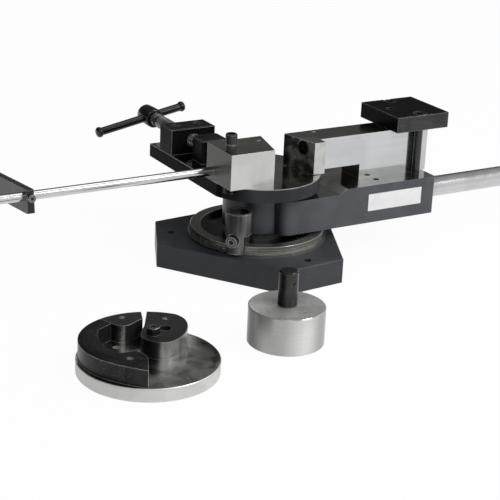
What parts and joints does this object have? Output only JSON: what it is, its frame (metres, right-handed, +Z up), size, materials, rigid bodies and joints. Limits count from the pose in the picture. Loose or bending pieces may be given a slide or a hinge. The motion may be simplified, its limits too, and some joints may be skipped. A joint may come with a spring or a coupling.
{
  "type": "scroll and angle bender",
  "caption": "Bench bar bender: fixed die table on an indexed base, swinging arm with an adjustable forming block, screw clamp, back stop, and loose scroll and round dies.",
  "frame": {"origin": "pivot axis of the swing arm at the level of the base's underside", "axes": "+Z up along the pivot, +X along the swing arm in its rest position towards the handle, +Y away from the operator towards the clamp screw"},
  "size_m": [1.281, 0.5122, 0.1645],
  "materials": {
    "base_paint": "satin charcoal paint",
    "arm_paint": "satin blue-grey paint",
    "table_black": "glossy black, machined top",
    "ground_steel": "ground bright",
    "turned_steel": "turned bright",
    "black_oxide": "black oxide",
    "former_steel": "dark oiled steel",
    "chrome_rod": "polished",
    "bronze": "plain bronze"
  },
  "bodies": {
    "base": {"base_plate": "base_paint", "index_ring": "turned_steel", "ring_screws": "black_oxide", "pivot_column": "turned_steel", "column_screws": "black_oxide", "centre_bolt": "black_oxide", "lower_washer": "bronze", "thrust_washer": "ground_steel", "table_plate": "table_black", "table_dowels": "ground_steel", "angle_die": "ground_steel", "die_dowel": "ground_steel", "vise_nut_block": "black_oxide", "nut_block_screws": "black_oxide"},
    "arm": {"swing_arm": "arm_paint", "pivot_bush": "bronze", "handle_stud": "black_oxide", "handle_tube": "chrome_rod", "hold_down_plate": "black_oxide", "plate_bolts": "black_oxide"},
    "slide": {"slide_carriage": "ground_steel", "slide_key": "ground_steel", "forming_block": "black_oxide", "forming_block_screw": "black_oxide", "block_grub_screw": "ground_steel"},
    "slide_clamp": {"slide_clamp_screw": "ground_steel"},
    "angle_stop": {"angle_stop_post": "black_oxide"},
    "angle_stop_clamp": {"stop_clamp_screw": "black_oxide"},
    "jaw": {"vise_jaw": "black_oxide", "jaw_pin": "ground_steel"},
    "screw": {"vise_screw": "turned_steel", "screw_hub": "black_oxide", "hub_pin": "ground_steel"},
    "tee": {"tee_bar": "black_oxide", "tee_balls": "black_oxide"},
    "rod": {"stop_rod": "chrome_rod"},
    "bracket": {"stop_bracket": "black_oxide"},
    "bracket_clamp": {"bracket_screw": "black_oxide"},
    "pin": {"die_pin": "black_oxide"},
    "scroll_die": {"scroll_disc": "turned_steel", "crescent_former": "former_steel", "lobe_former": "former_steel", "snail_former": "former_steel", "scroll_dowels": "ground_steel", "scroll_screw": "black_oxide", "former_screws": "black_oxide"},
    "round_die": {"round_die": "turned_steel", "round_die_shank": "former_steel"}
  },
  "joints": [
    {"name": "arm_swing", "type": "hinge", "parent": "base", "child": "arm", "pos_m": [0, 0, 0.06], "axis": [0, 0, 1], "range_deg": [-32, 72]},
    {"name": "slide_travel", "type": "slide", "parent": "arm", "child": "slide", "axis": [1, 0, 0], "range_m": [-0.034, 0]},
    {"name": "slide_clamp_turn", "type": "hinge", "parent": "arm", "child": "slide_clamp", "pos_m": [0.175, -0.0034, 0.15], "axis": [0, 0, 1], "range_deg": [0, 360]},
    {"name": "angle_stop_swing", "type": "hinge", "parent": "base", "child": "angle_stop", "pos_m": [0, 0, 0.05], "axis": [0, 0, 1], "range_deg": [-40, 25]},
    {"name": "angle_stop_clamp_turn", "type": "hinge", "parent": "angle_stop", "child": "angle_stop_clamp", "pos_m": [-0.06315, -0.05571, 0.0473], "axis": [-0.7396, -0.673, 0], "range_deg": [0, 360]},
    {"name": "jaw_travel", "type": "slide", "parent": "base", "child": "jaw", "axis": [0, 1, 0], "range_m": [-0.041, 0.017]},
    {"name": "screw_turn", "type": "hinge", "parent": "jaw", "child": "screw", "pos_m": [-0.0375, 0.12, 0.1195], "axis": [0, 1, 0], "range_deg": [-3700, 1540]},
    {"name": "tee_slide", "type": "slide", "parent": "screw", "child": "tee", "axis": [0.9823, 0, 0.1874], "range_m": [-0.026, 0.053]},
    {"name": "rod_turn", "type": "hinge", "parent": "base", "child": "rod", "pos_m": [-0.067, -0.008, 0.114], "axis": [1, 0, 0], "range_deg": [-10, 96]},
    {"name": "bracket_travel", "type": "slide", "parent": "rod", "child": "bracket", "axis": [1, 0, 0], "range_m": [-0.12, 0.21]},
    {"name": "bracket_clamp_turn", "type": "hinge", "parent": "bracket", "child": "bracket_clamp", "pos_m": [-0.287, -0.01894, 0.11515], "axis": [0, -0.9945, 0.1045], "range_deg": [0, 360]},
    {"name": "pin_lift", "type": "slide", "parent": "base", "child": "pin", "axis": [0, 0, 1], "range_m": [0, 0.052]},
    {"name": "scroll_die_lift", "type": "slide", "parent": "base", "child": "scroll_die", "axis": [0, 0, 1], "range_m": [0, 0.12]},
    {"name": "round_die_lift", "type": "slide", "parent": "base", "child": "round_die", "axis": [0, 0, 1], "range_m": [0, 0.12]}
  ],
  "couplings": [
    {"joint": "screw_turn", "follows": "jaw_travel", "rad_per_m": 1570.8}
  ]
}
